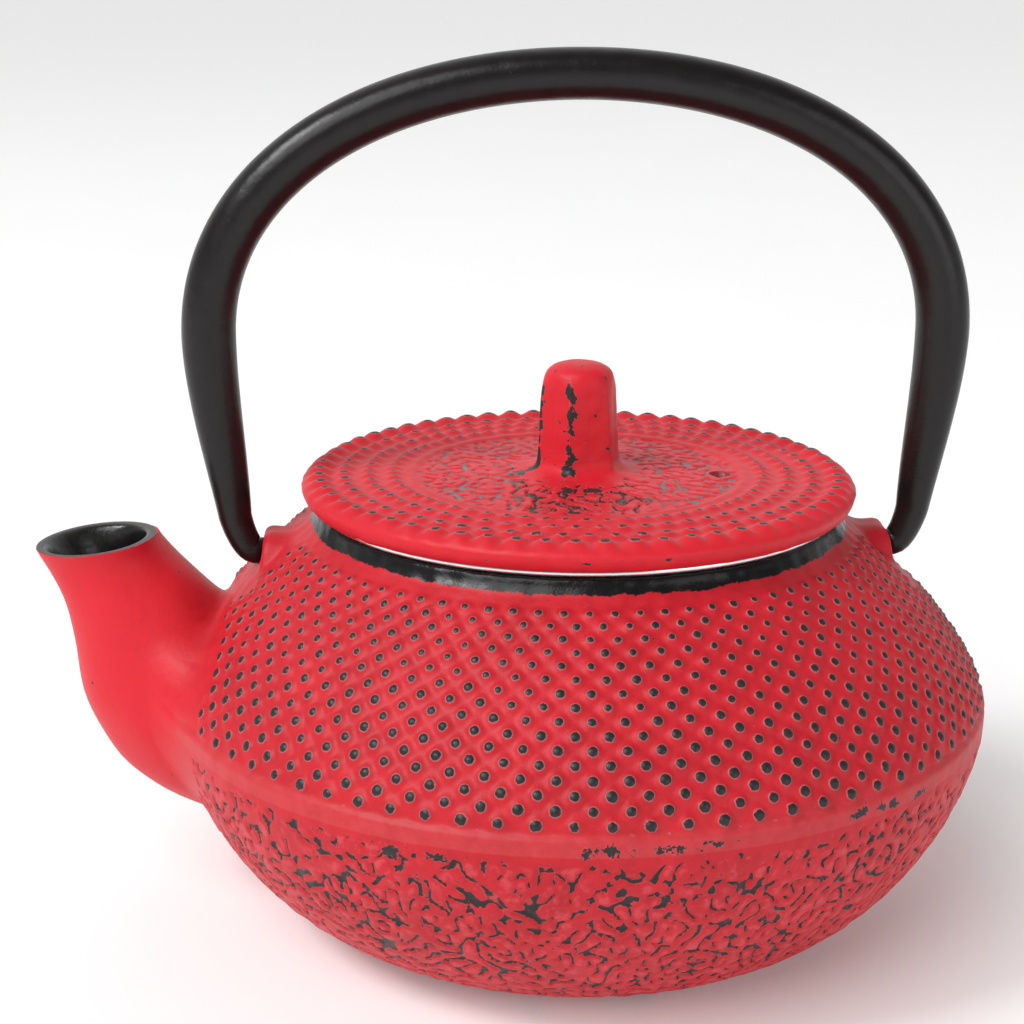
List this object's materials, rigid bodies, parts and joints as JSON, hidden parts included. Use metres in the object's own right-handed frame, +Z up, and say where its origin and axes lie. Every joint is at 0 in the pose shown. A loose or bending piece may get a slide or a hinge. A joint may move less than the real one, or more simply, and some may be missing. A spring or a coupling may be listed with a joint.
{
  "type": "cast iron teapot",
  "caption": "Small cast iron teapot with a lift-off lid, a curved spout, a swinging hoop handle on two lugs and a steel mesh tea infuser that hangs in its mouth",
  "frame": {"origin": "centre of the flat base that the pot stands on", "axes": "+Z up; the spout points along -X and the bail turns about a line parallel to X; +Y is the side away from the viewer, across the pot"},
  "size_m": [0.1387, 0.12, 0.125],
  "materials": {
    "red_iron": "satin red paint with worn black tips and recesses",
    "black_bail": "satin black",
    "steel_sheet": "polished",
    "steel_mesh": "fine woven mesh"
  },
  "bodies": {
    "pot": {"pot_body": "red_iron"},
    "bail": {"bail_handle": "black_bail"},
    "infuser": {"infuser_rim": "steel_sheet", "infuser_mesh_wall": "steel_mesh", "infuser_mesh_floor": "steel_mesh", "infuser_base_ring": "steel_sheet"},
    "lid": {"lid": "red_iron"}
  },
  "joints": [
    {"name": "bail_pivot", "type": "hinge", "parent": "pot", "child": "bail", "pos_m": [0, 0, 0.0534], "axis": [1, 0, 0], "range_deg": [-95, 95]},
    {"name": "infuser_lift", "type": "slide", "parent": "pot", "child": "infuser", "axis": [0, 0, 1], "range_m": [0, 0.0355]},
    {"name": "lid_lift", "type": "slide", "parent": "infuser", "child": "lid", "axis": [0, 0, 1], "range_m": [0, 0.035]}
  ]
}
